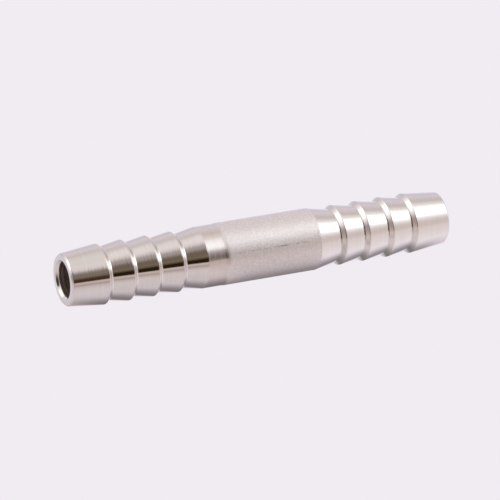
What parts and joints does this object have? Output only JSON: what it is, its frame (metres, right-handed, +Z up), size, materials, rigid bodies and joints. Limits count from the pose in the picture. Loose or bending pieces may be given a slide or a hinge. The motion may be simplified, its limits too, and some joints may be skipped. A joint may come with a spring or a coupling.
{
  "type": "hose joiner",
  "caption": "Straight metal hose joiner: barbed tails at both ends of a plain round body, bored through, for joining two hoses in line.",
  "frame": {"origin": "on the axis of the bore, halfway between the two end faces", "axes": "+X along the bore towards the tail whose cone runs straight into the plain bar, -X towards the tail with the skimmed band; +Z up, with the part lying on its side"},
  "size_m": [0.0656, 0.01, 0.01],
  "materials": {
    "bright_steel": "bright turned on both tails, satin drawn skin on the middle of the body"
  },
  "bodies": {
    "root": {"hose_joiner": "bright_steel"}
  },
  "joints": []
}
